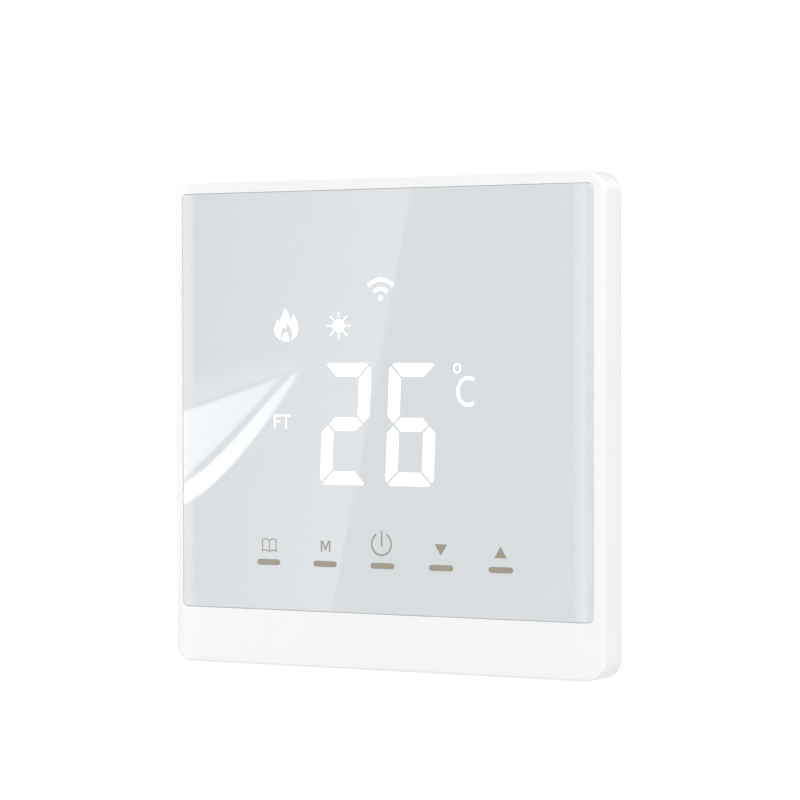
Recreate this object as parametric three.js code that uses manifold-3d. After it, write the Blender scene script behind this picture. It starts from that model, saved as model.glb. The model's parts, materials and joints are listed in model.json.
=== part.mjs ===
// Wall thermostat for a square flush wall box: a display unit that clips onto a screwed-on base.
// Millimetres. The origin is the centre of the object on the wall plane, +X is to the viewer's right,
// +Y goes into the wall and +Z is up, so the display faces -Y.
import * as THREE from "three";
import { mergeVertices } from "three/addons/utils/BufferGeometryUtils.js";
import Module from "manifold-3d";

const wasm = await Module();
wasm.setup();

// ---- driving dimensions ----
const faceSize = 86;
const halfFace = faceSize / 2;
const frontY = -12;
const gap = 0.3;

const cover = {
  rimY: -4.5,
  cornerRadius: 3.4,
  wall: 1.5,
  rollWidth: 5.6,
  rollDepth: 1.5,
  ledgeBackY: -9.3,
  stripBackY: -10.4,
  bossRadius: 2.4,
};
const lens = { halfWidth: 41.1, top: 40.95, bottom: -33.15, thickness: 1.2, cornerRadius: 1 };
const lensWindow = { halfWidth: 34.5, top: 35.5, bottom: -28.5 };

const displayBoard = { half: 39.4, frontY: -7.1, backY: -5.9 };
const tray = { half: 41, openY: -5.6, floorFrontY: -2.6, backY: -1.3, rim: 1.4, cornerRadius: 1.8 };
const unitScrews = { x: 38, top: 38, bottom: -36, shankRadius: 0.95, holeRadius: 1.25 };

const digits = {
  height: 21.36,
  width: 9.55,
  stroke: 2.37,
  clip: 1,
  split: 0.3,
  slant: 0.042,
  centreZ: -0.04,
  centresX: [-6.87, 6.33],
};
const displayBlock = { left: -26.5, right: 22.5, top: 27.5, bottom: -13.5 };
const touchKeys = { count: 5, pitch: 11.63, centreX: 0.5, z: -22.6, radius: 2.9, wire: 0.35, turns: 3 };

const steelFrame = { half: 38, thickness: 1, window: 22, cornerRadius: 4 };
const wallScrews = { pitch: 60, slotWidth: 4.6, slotLength: 10, reach: 18 };
const clips = { x: 22, z: 34.5, width: 7, thickness: 1.2, barb: 0.5, reachY: 1.9 };

const housing = {
  halfWidth: 26,
  halfHeight: 25,
  wall: 1.6,
  flangeHalfWidth: 28,
  flangeHalfHeight: 30.5,
  frontY: gap,
  flangeBackY: 1.8,
  shallowBackY: 8.6,
  deepBackY: 26,
  deepFromZ: -5,
};
const powerBoard = { halfWidth: 24, halfHeight: 23, frontY: 5, backY: 6.6 };
const header = { pins: 7, pitch: 2.54, z: 12.65, pin: 0.64, pinHole: 1.24 };

const terminal = {
  ways: 6,
  waysPerBlock: 2,
  pitch: 7.62,
  screwZ: -16,
  blockHalfWidth: 23.1,
  blockBottom: -23,
  blockTop: -8,
  blockFrontY: powerBoard.backY + gap,
  blockBackY: 22.5,
  chamberHalfWidth: 3.1,
  cageHalfWidth: 2.8,
  cageWall: 0.5,
  cageFloorY: 8.2,
  cagePlate: 1,
  wireGap: 4.5,
  barThickness: 1,
  travel: 3.6,
};

const partColours = {
  whitePlastic: { color: 0xf2f2f2, roughness: 0.35, metalness: 0 },
  lensAcrylic: { color: 0xd9dee1, roughness: 0.08, metalness: 0 },
  diffuser: { color: 0xe8edf0, roughness: 0.6, metalness: 0 },
  circuitBoard: { color: 0x1f5a35, roughness: 0.5, metalness: 0 },
  blackPlastic: { color: 0x1b1c1e, roughness: 0.55, metalness: 0 },
  greyPlastic: { color: 0x8c9196, roughness: 0.6, metalness: 0 },
  terminalPlastic: { color: 0x2f6b4d, roughness: 0.45, metalness: 0 },
  steel: { color: 0xb9bcc0, roughness: 0.35, metalness: 0.9 },
  brass: { color: 0xc9a14a, roughness: 0.3, metalness: 0.9 },
  yellowTape: { color: 0xd9b02c, roughness: 0.5, metalness: 0 },
  capacitorSleeve: { color: 0x20242c, roughness: 0.4, metalness: 0 },
  blueEpoxy: { color: 0x2c55a0, roughness: 0.35, metalness: 0 },
};

// ---- solid helpers ----
function toSolid(geometry) {
  const source = geometry.index ? geometry.toNonIndexed() : geometry;
  const bare = new THREE.BufferGeometry();
  bare.setAttribute("position", source.getAttribute("position"));
  const merged = mergeVertices(bare, 1e-4);
  const mesh = new wasm.Mesh({
    numProp: 3,
    vertProperties: merged.getAttribute("position").array,
    triVerts: new Uint32Array(merged.index.array),
  });
  return new wasm.Manifold(mesh);
}

function toGeometry(solid) {
  const mesh = solid.getMesh();
  const geometry = new THREE.BufferGeometry();
  geometry.setAttribute("position", new THREE.BufferAttribute(mesh.vertProperties, 3));
  geometry.setIndex(new THREE.BufferAttribute(mesh.triVerts, 1));
  return geometry;
}

const join = (first, ...others) => others.reduce((sum, solid) => sum.add(solid), first);
const cut = (first, ...others) => others.reduce((rest, solid) => rest.subtract(solid), first);

function blockBetween([x0, x1], [y0, y1], [z0, z1]) {
  const geometry = new THREE.BoxGeometry(x1 - x0, y1 - y0, z1 - z0);
  geometry.translate((x0 + x1) / 2, (y0 + y1) / 2, (z0 + z1) / 2);
  return toSolid(geometry);
}

// A flat outline drawn in X and Z, made solid from y0 to y1.
function plateBetween(outline, y0, y1, curveSegments = 6) {
  const geometry = new THREE.ExtrudeGeometry(outline, { depth: y1 - y0, bevelEnabled: false, curveSegments });
  geometry.rotateX(Math.PI / 2);
  geometry.translate(0, y1, 0);
  return toSolid(geometry);
}

// A section drawn in X and Y, made solid from z0 to z1.
function columnBetween(section, z0, z1) {
  const geometry = new THREE.ExtrudeGeometry(section, { depth: z1 - z0, bevelEnabled: false });
  geometry.translate(0, 0, z0);
  return toSolid(geometry);
}

function rodAlongY(x, z, y0, y1, radius, sides = 20) {
  const geometry = new THREE.CylinderGeometry(radius, radius, y1 - y0, sides);
  geometry.translate(x, (y0 + y1) / 2, z);
  return toSolid(geometry);
}

function rodAlongX(y, z, x0, x1, radius, sides = 16) {
  const geometry = new THREE.CylinderGeometry(radius, radius, x1 - x0, sides);
  geometry.rotateZ(Math.PI / 2);
  geometry.translate((x0 + x1) / 2, y, z);
  return toSolid(geometry);
}

function rodAlongZ(x, y, z0, z1, radius, sides = 20) {
  const geometry = new THREE.CylinderGeometry(radius, radius, z1 - z0, sides);
  geometry.rotateX(Math.PI / 2);
  geometry.translate(x, y, (z0 + z1) / 2);
  return toSolid(geometry);
}

function roundedOutline(x0, x1, z0, z1, radius) {
  const outline = new THREE.Shape();
  outline.moveTo(x0 + radius, z0);
  outline.lineTo(x1 - radius, z0);
  outline.absarc(x1 - radius, z0 + radius, radius, -Math.PI / 2, 0);
  outline.lineTo(x1, z1 - radius);
  outline.absarc(x1 - radius, z1 - radius, radius, 0, Math.PI / 2);
  outline.lineTo(x0 + radius, z1);
  outline.absarc(x0 + radius, z1 - radius, radius, Math.PI / 2, Math.PI);
  outline.lineTo(x0, z0 + radius);
  outline.absarc(x0 + radius, z0 + radius, radius, Math.PI, 1.5 * Math.PI);
  return outline;
}

const squareOutline = (half, radius) => roundedOutline(-half, half, -half, half, radius);

function part(name, solid, finish) {
  const mesh = new THREE.Mesh(toGeometry(solid), new THREE.MeshStandardMaterial(finish));
  mesh.name = name;
  mesh.geometry.computeVertexNormals();
  return mesh;
}

// ---- the rolled front ----
// Depth of the front surface at x: flat in the middle, an elliptic roll at the left and right edges.
function frontSurfaceY(x) {
  const intoRoll = Math.max(0, Math.abs(x) - (halfFace - cover.rollWidth)) / cover.rollWidth;
  return frontY + cover.rollDepth * (1 - Math.sqrt(Math.max(0, 1 - intoRoll * intoRoll)));
}

// Points of the front surface from -halfWidth to +halfWidth, closer together where it bends.
function frontPoints(halfWidth, shift = 0) {
  const steps = 10;
  const rollStart = halfFace - cover.rollWidth;
  const right = [];
  for (let i = 0; i <= steps; i++) {
    const angle = (i / steps) * (Math.PI / 2);
    const x = rollStart + cover.rollWidth * Math.sin(angle);
    right.push(Math.min(x, halfWidth));
    if (x >= halfWidth) break;
  }
  const left = right.map((x) => -x).reverse();
  return [...left, ...right].map((x) => new THREE.Vector2(x, frontSurfaceY(x) + shift));
}

function makeFrontCover() {
  const section = new THREE.Shape([
    ...frontPoints(halfFace),
    new THREE.Vector2(halfFace, cover.rimY),
    new THREE.Vector2(-halfFace, cover.rimY),
  ]);
  const rolled = columnBetween(section, -halfFace, halfFace);
  const outline = squareOutline(halfFace, cover.cornerRadius);
  const body = rolled.intersect(plateBetween(outline, frontY - 1, cover.rimY, 8));

  const inside = halfFace - cover.wall;
  const hollow = plateBetween(squareOutline(inside, cover.cornerRadius - cover.wall), cover.ledgeBackY, 0);
  const stripHollow = blockBetween([-36, 36], [cover.stripBackY, 0], [-inside + 0.5, lens.bottom - 1.2]);
  const window = blockBetween(
    [-lensWindow.halfWidth, lensWindow.halfWidth],
    [frontY, 0],
    [lensWindow.bottom, lensWindow.top],
  );
  const shell = cut(body, hollow, stripHollow, window, lensShape(gap / 2, gap));
  const bosses = unitScrewPlaces().map(([x, z]) =>
    rodAlongY(x, z, cover.ledgeBackY - 0.2, displayBoard.frontY - gap, cover.bossRadius),
  );
  const bores = unitScrewPlaces().map(([x, z]) =>
    rodAlongY(x, z, cover.ledgeBackY + 0.1, displayBoard.frontY, unitScrews.holeRadius, 16),
  );
  return part("front_cover", cut(join(shell, ...bosses), ...bores), partColours.whitePlastic);
}

// The lens, or with margins the pocket that takes it.
function lensShape(sideMargin, backMargin) {
  const halfWidth = lens.halfWidth + sideMargin;
  const outer = frontPoints(halfWidth, backMargin > 0 ? -1 : 0);
  const inner = frontPoints(halfWidth, lens.thickness + backMargin).reverse();
  const bottom = lens.bottom - sideMargin;
  const top = lens.top + sideMargin;
  const sheet = columnBetween(new THREE.Shape([...outer, ...inner]), bottom, top);
  const outline = roundedOutline(-halfWidth, halfWidth, bottom, top, lens.cornerRadius);
  return sheet.intersect(plateBetween(outline, frontY - 2, 0, 4));
}

// ---- the display ----
const mirrored = (points) => points.map(([x, z]) => [-x, z]).reverse();
const flipped = (points) => points.map(([x, z]) => [x, -z]).reverse();

// The seven segment outlines of one digit: mitred bars with clipped outer corners, leaning by the slant.
function digitSegments(centreX) {
  const w = digits.width / 2;
  const h = digits.height / 2;
  const { stroke, clip, split } = digits;
  const near = (clip - split) / 2;
  const far = (clip + split) / 2;
  const topEnd = [[-w + split + stroke, h - stroke], [-w + far, h - near], [-w + clip, h]];
  const tip = -w + stroke / 2 + split;
  const middleEnd = [[tip + stroke / 2, -stroke / 2], [tip, 0], [tip + stroke / 2, stroke / 2]];
  const top = [...topEnd, ...mirrored(topEnd)];
  const middle = [...middleEnd, ...mirrored(middleEnd)];
  const upperLeft = [
    [-w, h - clip],
    [-w + near, h - far],
    [-w + stroke, h - stroke - split],
    [-w + stroke, stroke / 2 + split],
    [-w + stroke / 2, split],
    [-w, stroke / 2 + split],
  ];
  const bars = [top, flipped(top), middle, upperLeft, mirrored(upperLeft), flipped(upperLeft)];
  bars.push(mirrored(flipped(upperLeft)));
  const lean = ([x, z]) => new THREE.Vector2(centreX + x + digits.slant * z, digits.centreZ + z);
  return bars.map((points) => new THREE.Shape(points.map(lean)));
}

function makeDisplayBlock() {
  const frontFace = frontY + lens.thickness + 3 * gap;
  const backFace = displayBoard.frontY - gap;
  const { left, right, top, bottom } = displayBlock;
  const body = plateBetween(roundedOutline(left, right, bottom, top, 1.5), frontFace, backFace, 3);
  const through = (outline) => plateBetween(outline, frontFace - 1, backFace + 1, 6);
  const segmentWells = digits.centresX.flatMap(digitSegments).map(through);
  const iconWells = [
    roundedOutline(-3.4, 3.8, 20.9, 26.3, 1), // wireless arcs
    roundedOutline(-11, -5.5, 14.4, 19.9, 1), // sun
    roundedOutline(-22, -16, 13.9, 20.8, 1), // flame
    roundedOutline(13.9, 19.5, 2.6, 11.1, 1), // degrees
    roundedOutline(-22.2, -17.6, -1.6, 2.1, 0.8), // floor temperature
  ].map(through);
  return part("led_display_block", cut(body, ...segmentWells, ...iconWells), partColours.whitePlastic);
}

function makeDiffuser() {
  const front = frontY + lens.thickness + gap;
  const { left, right, top, bottom } = displayBlock;
  const sheet = plateBetween(roundedOutline(left, right, bottom, top, 1.5), front, front + gap, 3);
  return part("diffuser_film", sheet, partColours.diffuser);
}

// A sprung touch contact: a helix of wire that widens towards the lens.
class ContactHelix extends THREE.Curve {
  constructor(x, z, y0, y1) {
    super();
    Object.assign(this, { x, z, y0, y1 });
  }

  getPoint(t) {
    const angle = 2 * Math.PI * touchKeys.turns * t;
    const radius = touchKeys.radius * (0.75 + 0.25 * t);
    return new THREE.Vector3(
      this.x + radius * Math.cos(angle),
      this.y0 + (this.y1 - this.y0) * t,
      this.z + radius * Math.sin(angle),
    );
  }
}

function makeTouchSprings() {
  const wire = new THREE.Shape();
  wire.absarc(0, 0, touchKeys.wire, 0, 2 * Math.PI);
  const boardEnd = displayBoard.frontY - gap - touchKeys.wire;
  const lensEnd = frontY + lens.thickness + gap + touchKeys.wire;
  return Array.from({ length: touchKeys.count }, (_, i) => {
    const x = touchKeys.centreX + (i - (touchKeys.count - 1) / 2) * touchKeys.pitch;
    const path = new ContactHelix(x, touchKeys.z, boardEnd, lensEnd);
    const steps = touchKeys.turns * 10;
    const geometry = new THREE.ExtrudeGeometry(wire, { extrudePath: path, steps, curveSegments: 3 });
    return part("touch_spring_" + (i + 1), toSolid(geometry), partColours.steel);
  });
}

function unitScrewPlaces() {
  const { x, top, bottom } = unitScrews;
  return [[-x, top], [x, top], [-x, bottom], [x, bottom]];
}

function makeDisplayBoard() {
  const board = plateBetween(squareOutline(displayBoard.half, 1), displayBoard.frontY, displayBoard.backY, 3);
  const holes = unitScrewPlaces().map(([x, z]) => rodAlongY(x, z, -9, 0, unitScrews.holeRadius, 16));
  return part("display_board", cut(board, ...holes), partColours.circuitBoard);
}

function makeDisplayElectronics() {
  const seat = displayBoard.backY + gap;
  const radioBoard = blockBetween([-30, -6], [seat, seat + 0.8], [17, 33]);
  const radioCan = blockBetween([-28.5, -12.5], [seat + 0.7, seat + 2.5], [18, 32]);
  const controller = blockBetween([10, 20], [seat, seat + 1.4], [20, 30]);
  const driver = blockBetween([13, 23], [seat, seat + 1.5], [-10, -4]);
  const buzzerCase = rodAlongY(-20, -8, seat, seat + 2.5, 4.5, 24);
  const soundHole = rodAlongY(-20, -8, seat + 1.5, seat + 3, 0.8, 12);
  const bead = new THREE.SphereGeometry(1.2, 12, 8).translate(-33, seat + 1.3, -37);
  const leads = [-33.6, -32.4].map((x) => rodAlongZ(x, seat + 1, -37, -31, 0.25, 8));
  const leadFoot = blockBetween([-34.2, -31.8], [seat, seat + 1.4], [-31.5, -30]);
  return [
    part("wifi_module", join(radioBoard, radioCan), partColours.steel),
    part("microcontroller", controller, partColours.blackPlastic),
    part("display_driver", driver, partColours.blackPlastic),
    part("buzzer", cut(buzzerCase, soundHole), partColours.blackPlastic),
    part("air_sensor", join(toSolid(bead), ...leads, leadFoot), partColours.blackPlastic),
  ];
}

const pinPlaces = () =>
  Array.from({ length: header.pins }, (_, i) => (i - (header.pins - 1) / 2) * header.pitch);

function makePinHeader() {
  const seat = displayBoard.backY + gap;
  const strip = blockBetween([-9, 9], [seat, seat + 2.5], [header.z - 1.25, header.z + 1.25]);
  const half = header.pin / 2;
  const pins = pinPlaces().map((x) =>
    blockBetween([x - half, x + half], [seat + 2.4, 3.6], [header.z - half, header.z + half]),
  );
  return part("pin_header", join(strip, ...pins), partColours.brass);
}

// ---- the back of the display unit ----
function makeClip(x, side) {
  const z0 = side * clips.z;
  const inner = Math.min(z0, z0 + side * clips.thickness);
  const outer = Math.max(z0, z0 + side * clips.thickness);
  const span = [x - clips.width / 2, x + clips.width / 2];
  const tongue = blockBetween(span, [tray.backY - 0.5, clips.reachY], [inner, outer]);
  const tip = z0 + side * (clips.thickness + clips.barb);
  const barb = blockBetween(span, [0.4, clips.reachY], [Math.min(z0, tip), Math.max(z0, tip)]);
  return join(tongue, barb);
}

function makeRearTray() {
  const outline = squareOutline(tray.half, tray.cornerRadius);
  const body = plateBetween(outline, tray.openY, tray.backY, 4);
  const inner = tray.half - tray.rim;
  const hollow = plateBetween(squareOutline(inner, 0.8), tray.openY - 1, tray.floorFrontY, 3);
  const headerWindow = blockBetween([-11.5, 11.5], [-4, 0], [header.z - 4, header.z + 4]);
  const vents = [];
  for (let i = -3; i <= 3; i++) {
    for (const side of [-1, 1]) {
      const z = [side * (inner - 1), side * (tray.half + 1)].sort((a, b) => a - b);
      vents.push(blockBetween([i * 9 - 3, i * 9 + 3], [-4.1, -2.7], z));
    }
  }
  const posts = unitScrewPlaces().map(([x, z]) =>
    rodAlongY(x, z, tray.openY, tray.backY - 0.1, unitScrews.holeRadius + 1.1, 16),
  );
  const holes = unitScrewPlaces().map(([x, z]) => rodAlongY(x, z, -7, 0, unitScrews.holeRadius, 16));
  const heads = unitScrewPlaces().map(([x, z]) => rodAlongY(x, z, -2.4, 0, 2.3, 20));
  const reliefs = [
    ...wallScrewPlaces().map((x) => rodAlongY(x, 0, -4, 0, 4.2, 24)),
    ...housingScrewPlaces().map(([x, z]) => rodAlongY(x, z, -4, 0, 3, 20)),
  ];
  const hooks = [-1, 1].flatMap((side) => [-clips.x, clips.x].map((x) => makeClip(x, side)));
  const tub = join(cut(body, hollow), ...posts);
  const solid = join(cut(tub, headerWindow, ...vents, ...holes, ...heads, ...reliefs), ...hooks);
  return part("rear_tray", solid, partColours.whitePlastic);
}

// A cross-recessed screw along Y with its head at the +Y end, or at the -Y end when turned.
function crossScrew({ x, z, headY, headHeight, headRadius, tipY, shankRadius, headSign }) {
  const headEnd = headY + headSign * headHeight;
  const ordered = (a, b) => [Math.min(a, b), Math.max(a, b)];
  const head = rodAlongY(x, z, ...ordered(headY, headEnd), headRadius, 20);
  const shank = rodAlongY(x, z, ...ordered(tipY, headY + headSign * 0.1), shankRadius, 14);
  const recess = ordered(headEnd + headSign, headEnd - headSign * headHeight * 0.55);
  const long = headRadius * 0.62;
  const slim = headRadius * 0.16;
  const crossA = blockBetween([x - long, x + long], recess, [z - slim, z + slim]);
  const crossB = blockBetween([x - slim, x + slim], recess, [z - long, z + long]);
  return cut(join(head, shank), crossA, crossB);
}

function makeUnitScrews() {
  return unitScrewPlaces().map(([x, z], i) => {
    const screw = crossScrew({
      x,
      z,
      headY: -2.1,
      headHeight: 0.8,
      headRadius: 1.9,
      tipY: -8.9,
      shankRadius: unitScrews.shankRadius,
      headSign: 1,
    });
    return part("unit_screw_" + (i + 1), screw, partColours.steel);
  });
}

// ---- the base ----
const wallScrewPlaces = () => [-wallScrews.pitch / 2, wallScrews.pitch / 2];

const housingScrewPlaces = () => [[-18, 27.8], [18, -27.8]];

function makeSteelFrame() {
  const outline = squareOutline(steelFrame.half, steelFrame.cornerRadius);
  const sheet = plateBetween(outline, -steelFrame.thickness, 0);
  const window = plateBetween(squareOutline(steelFrame.window, 2), -3, 3);
  const halfSlot = wallScrews.slotWidth / 2;
  const slots = wallScrewPlaces().map((x) => {
    const halfLength = wallScrews.slotLength / 2;
    const slot = roundedOutline(x - halfSlot, x + halfSlot, -halfLength, halfLength, halfSlot - 0.01);
    return plateBetween(slot, -3, 3);
  });
  const catches = [-1, 1].flatMap((side) =>
    [-clips.x, clips.x].map((x) => {
      const near = side * (clips.z - gap);
      const far = side * (clips.z + clips.thickness + clips.barb + gap);
      const z = [Math.min(near, far), Math.max(near, far)];
      return blockBetween([x - clips.width / 2 - gap, x + clips.width / 2 + gap], [-3, 3], z);
    }),
  );
  const screwHoles = housingScrewPlaces().map(([x, z]) => rodAlongY(x, z, -3, 3, 1.5, 16));
  const edgeRelief = [-1, 1].map((side) => {
    const z = [side * (steelFrame.half - 1.6), side * (steelFrame.half + 1)].sort((a, b) => a - b);
    return blockBetween([-8, 8], [-3, 3], z);
  });
  const solid = cut(sheet, window, ...slots, ...catches, ...screwHoles, ...edgeRelief);
  return part("mounting_frame", solid, partColours.steel);
}

function makeWallScrews() {
  return wallScrewPlaces().map((x) => {
    const screw = crossScrew({
      x,
      z: 0,
      headY: -steelFrame.thickness - 0.05,
      headHeight: 1.8,
      headRadius: 3.6,
      tipY: wallScrews.reach,
      shankRadius: 1.9,
      headSign: -1,
    });
    return part(x < 0 ? "wall_screw_left" : "wall_screw_right", screw, partColours.steel);
  });
}

function makeHousingScrews() {
  return housingScrewPlaces().map(([x, z], i) => {
    const screw = crossScrew({
      x,
      z,
      headY: -steelFrame.thickness - 0.05,
      headHeight: 1.2,
      headRadius: 2.2,
      tipY: 6,
      shankRadius: 1.1,
      headSign: -1,
    });
    return part("housing_screw_" + (i + 1), screw, partColours.steel);
  });
}

function makeRearHousing() {
  const { halfWidth, halfHeight, wall, flangeBackY, shallowBackY, deepBackY, deepFromZ } = housing;
  const front = housing.frontY;
  const flange = plateBetween(
    roundedOutline(
      -housing.flangeHalfWidth,
      housing.flangeHalfWidth,
      -housing.flangeHalfHeight,
      housing.flangeHalfHeight,
      2,
    ),
    front,
    flangeBackY,
    3,
  );
  const shallow = plateBetween(
    roundedOutline(-halfWidth, halfWidth, -halfHeight, halfHeight, 1.5),
    front,
    shallowBackY,
    3,
  );
  const deep = plateBetween(
    roundedOutline(-halfWidth, halfWidth, deepFromZ, halfHeight, 1.5),
    front,
    deepBackY,
    3,
  );
  const inX = [-halfWidth + wall, halfWidth - wall];
  const inZ = [-halfHeight + wall, halfHeight - wall];
  const insideShallow = blockBetween(inX, [front - 1, shallowBackY - 1.4], inZ);
  const insideDeep = blockBetween(inX, [front - 1, deepBackY - wall], [deepFromZ + wall, halfHeight - wall]);
  const blockWindow = blockBetween(
    [-terminal.blockHalfWidth - gap, terminal.blockHalfWidth + gap],
    [0, shallowBackY + 1],
    [terminal.blockBottom - gap, terminal.blockTop + gap],
  );
  const bosses = housingScrewPlaces().map(([x, z]) => rodAlongY(x, z, front, 7, 2.4, 18));
  const bores = housingScrewPlaces().map(([x, z]) => rodAlongY(x, z, 0, 6.4, 1.4, 16));
  const wallSlots = wallScrewPlaces().map((x) => blockBetween([x - 2.6, x + 2.6], [0, 3], [-6, 6]));
  const coolingSlots = [];
  for (let i = 0; i < 5; i++) {
    const x = -16 + 8 * i;
    coolingSlots.push(blockBetween([x - 2.2, x + 2.2], [12, 22], [halfHeight - wall - 1, halfHeight + 1]));
  }
  const tub = cut(join(flange, shallow, deep, ...bosses), insideShallow, insideDeep, blockWindow);
  return part("rear_housing", cut(tub, ...bores, ...wallSlots, ...coolingSlots), partColours.whitePlastic);
}

function makeHousingLid() {
  const halfWidth = housing.halfWidth - housing.wall - gap;
  const halfHeight = housing.halfHeight - housing.wall - gap;
  const sheet = blockBetween([-halfWidth, halfWidth], [0.6, 1.8], [-halfHeight, halfHeight]);
  const window = blockBetween([-10, 10], [0, 3], [header.z - 2.6, header.z + 2.6]);
  return part("housing_lid", cut(sheet, window), partColours.blackPlastic);
}

function makePowerBoard() {
  const { halfWidth, halfHeight, frontY: front, backY } = powerBoard;
  const board = blockBetween([-halfWidth, halfWidth], [front, backY], [-halfHeight, halfHeight]);
  return part("power_board", board, partColours.circuitBoard);
}

function makeHeaderSocket() {
  const back = powerBoard.frontY - gap;
  const body = blockBetween([-9.3, 9.3], [-0.9, back], [header.z - 1.8, header.z + 1.8]);
  const half = header.pinHole / 2;
  const holes = pinPlaces().map((x) =>
    blockBetween([x - half, x + half], [-2, back - 0.5], [header.z - half, header.z + half]),
  );
  return part("header_socket", cut(body, ...holes), partColours.blackPlastic);
}

function makePowerElectronics() {
  const seat = powerBoard.backY + gap;
  const relay = blockBetween([-21, 8], [seat, seat + 15.7], [9.5, 22.2]);
  const relayVent = rodAlongY(-18.5, 20, seat + 15.2, seat + 17, 0.6, 10);
  const core = blockBetween([10.5, 22.5], [seat + 3, seat + 6.5], [9.5, 21.5]);
  const winding = blockBetween([12, 21], [seat + 0.2, seat + 13], [11, 20]);
  const bobbin = blockBetween([10.5, 22.5], [seat, seat + 1.5], [9.5, 21.5]);
  const bobbinTop = blockBetween([10.5, 22.5], [seat + 10, seat + 11.5], [9.5, 21.5]);
  const film = blockBetween([-21, -8], [seat, seat + 12], [-2, 4]);
  const disc = rodAlongZ(0, seat + 6, -1, 3, 5, 24);
  const discLegs = [-2.5, 2.5].map((x) => rodAlongY(x, 1, seat, seat + 3, 0.4, 8));
  const bigCan = rodAlongY(12.5, 1.7, seat, seat + 15.5, 5, 28);
  const smallCan = rodAlongY(20.6, 2, seat, seat + 11, 2.5, 20);
  const fuseTube = rodAlongX(seat + 2.2, 6.9, -19, -10, 1.8, 16);
  const fuseLegs = [-18.6, -10.4].map((x) => rodAlongY(x, 6.9, seat, seat + 2, 0.35, 8));
  return [
    part("relay", cut(relay, relayVent), partColours.blackPlastic),
    part("transformer", join(core, winding, bobbin, bobbinTop), partColours.yellowTape),
    part("film_capacitor", film, partColours.greyPlastic),
    part("varistor", join(disc, ...discLegs), partColours.blueEpoxy),
    part("filter_capacitor", bigCan, partColours.capacitorSleeve),
    part("output_capacitor", smallCan, partColours.capacitorSleeve),
    part("fuse", join(fuseTube, ...fuseLegs), partColours.greyPlastic),
  ];
}

// ---- the terminals ----
// Depths of the rising clamp, worked out from the wire gap: floor plate, wire, fixed bar, threaded plate.
const clamp = {
  wireFrontY: terminal.cageFloorY + terminal.cagePlate,
  barFrontY: terminal.cageFloorY + terminal.cagePlate + terminal.wireGap,
  z0: terminal.screwZ - 3.5,
  z1: terminal.screwZ + 3.5,
};
clamp.barBackY = clamp.barFrontY + terminal.barThickness;
clamp.nutFrontY = clamp.barBackY + gap;
clamp.nutBackY = clamp.nutFrontY + 1.2;
clamp.headY = clamp.nutBackY + terminal.travel + gap;

const terminalPlaces = () =>
  Array.from({ length: terminal.ways }, (_, i) => (i - (terminal.ways - 1) / 2) * terminal.pitch);

function terminalCuts(x) {
  const { blockFrontY, blockBackY, blockBottom, chamberHalfWidth, cageFloorY, screwZ } = terminal;
  const innerZ = -10.2;
  const sides = [x - chamberHalfWidth, x + chamberHalfWidth];
  const wireDepth = [clamp.wireFrontY - 0.1, clamp.barFrontY + 0.3];
  return [
    blockBetween(sides, [cageFloorY - gap, clamp.headY - 0.1], [blockBottom + 1.2, innerZ]), // clamp chamber
    blockBetween([x - 2.5, x + 2.5], wireDepth, [blockBottom - 1, -20]), // wire entry
    rodAlongY(x, screwZ, clamp.headY - 0.3, blockBackY + 1, 2.6, 20), // screw head bore
    blockBetween([x - 1.6, x + 1.6], [blockFrontY - 1, cageFloorY], [-12, innerZ]), // solder tail
  ];
}

// Two-way blocks side by side, as they dovetail together on the board.
function makeTerminalBlocks() {
  const { waysPerBlock, blockFrontY, blockBackY, blockBottom, blockTop, pitch } = terminal;
  const places = terminalPlaces();
  return Array.from({ length: terminal.ways / waysPerBlock }, (_, i) => {
    const own = places.slice(i * waysPerBlock, (i + 1) * waysPerBlock);
    const sides = [own[0] - pitch / 2 + gap / 2, own[waysPerBlock - 1] + pitch / 2 - gap / 2];
    const body = blockBetween(sides, [blockFrontY, blockBackY], [blockBottom, blockTop]);
    const block = cut(body, ...own.flatMap(terminalCuts));
    return part("terminal_block_" + (i + 1), block, partColours.terminalPlastic);
  });
}

function makeTerminalClamp(x) {
  const { cageHalfWidth, cageWall, cageFloorY, screwZ } = terminal;
  const outerX = [x - cageHalfWidth, x + cageHalfWidth];
  const innerX = [outerX[0] + cageWall, outerX[1] - cageWall];
  const cage = blockBetween(outerX, [cageFloorY, clamp.nutBackY], [clamp.z0, clamp.z1]);
  const opening = blockBetween(innerX, [clamp.wireFrontY, clamp.nutFrontY], [clamp.z0 - 1, clamp.z1 + 1]);
  const screwHole = rodAlongY(x, screwZ, clamp.nutFrontY - 1, clamp.nutBackY + 1, 1.8, 16);
  return cut(cage, opening, screwHole);
}

function makeTerminalContact(x) {
  const tailZ = [-11.6, -10.6];
  const bar = blockBetween([x - 1.9, x + 1.9], [clamp.barFrontY, clamp.barBackY], [clamp.z0, tailZ[1]]);
  const tail = blockBetween([x - 1.2, x + 1.2], [terminal.blockFrontY + 0.1, clamp.barBackY], tailZ);
  return join(bar, tail);
}

function makeTerminalScrew(x) {
  const { screwZ } = terminal;
  const head = rodAlongY(x, screwZ, clamp.headY, clamp.headY + 2, 2.2, 20);
  const shank = rodAlongY(x, screwZ, clamp.barBackY + gap, clamp.headY + 0.1, 1.5, 16);
  const slotDepth = [clamp.headY + 1.1, clamp.headY + 3];
  const slot = blockBetween([x - 3, x + 3], slotDepth, [screwZ - 0.35, screwZ + 0.35]);
  return cut(join(head, shank), slot);
}

function makeTerminalPieces() {
  return terminalPlaces().flatMap((x, i) => [
    part("terminal_clamp_" + (i + 1), makeTerminalClamp(x), partColours.steel),
    part("terminal_contact_" + (i + 1), makeTerminalContact(x), partColours.brass),
    part("terminal_screw_" + (i + 1), makeTerminalScrew(x), partColours.steel),
  ]);
}

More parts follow.
